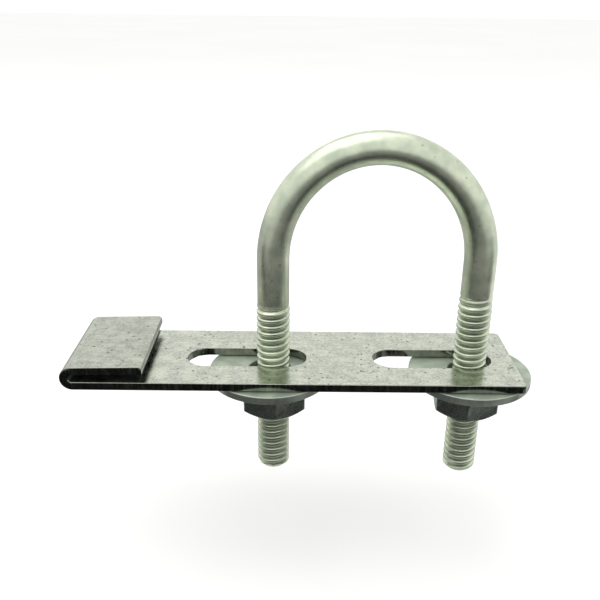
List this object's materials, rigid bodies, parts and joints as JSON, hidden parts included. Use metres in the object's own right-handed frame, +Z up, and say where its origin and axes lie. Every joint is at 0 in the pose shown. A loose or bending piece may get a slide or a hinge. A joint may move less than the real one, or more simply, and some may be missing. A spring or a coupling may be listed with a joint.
{
  "type": "u-bolt pipe clamp with slotted hook plate",
  "caption": "Steel U-bolt pipe clamp: a threaded U-bolt through a slotted plate folded into a hook at one end, with washers and hexagon nuts below.",
  "frame": {"origin": "on the plate's top face, midway between its two slots and on the middle line of its width", "axes": "+X along the plate, away from its hook; +Z up out of the plate's top face, towards the U-bolt's arch; +Y across the plate"},
  "size_m": [0.0906, 0.0252, 0.07],
  "materials": {
    "zinc_plate": "zinc-coated sheet, satin with fine spangle and streaks",
    "zinc_rod": "zinc-plated rod, satin, slightly yellow-green",
    "zinc_washer": "zinc-plated stamped steel, satin grey-green",
    "zinc_nut": "zinc-plated steel, darker satin grey"
  },
  "bodies": {
    "plate": {"hook_plate": "zinc_plate"},
    "washers": {"washer_left": "zinc_washer", "washer_right": "zinc_washer"},
    "u_bolt": {"u_bolt": "zinc_rod"},
    "nut_left": {"nut_left": "zinc_nut"},
    "nut_right": {"nut_right": "zinc_nut"}
  },
  "joints": [
    {"name": "slot_slide", "type": "slide", "parent": "plate", "child": "washers", "axis": [1, 0, 0], "range_m": [-0.0134, 0.0007]},
    {"name": "bolt_draw", "type": "slide", "parent": "washers", "child": "u_bolt", "axis": [0, 0, 1], "range_m": [-0.014, 0.014]},
    {"name": "nut_left_turn", "type": "hinge", "parent": "washers", "child": "nut_left", "pos_m": [-0.01321, -0.00115, -0.00695], "axis": [0, 0, 1], "range_deg": [-3670, 3670]},
    {"name": "nut_right_turn", "type": "hinge", "parent": "washers", "child": "nut_right", "pos_m": [0.02589, -0.00115, -0.00695], "axis": [0, 0, 1], "range_deg": [-3670, 3670]}
  ],
  "couplings": [
    {"joint": "nut_left_turn", "follows": "bolt_draw", "rad_per_m": -4569.6},
    {"joint": "nut_right_turn", "follows": "bolt_draw", "rad_per_m": -4569.6}
  ]
}
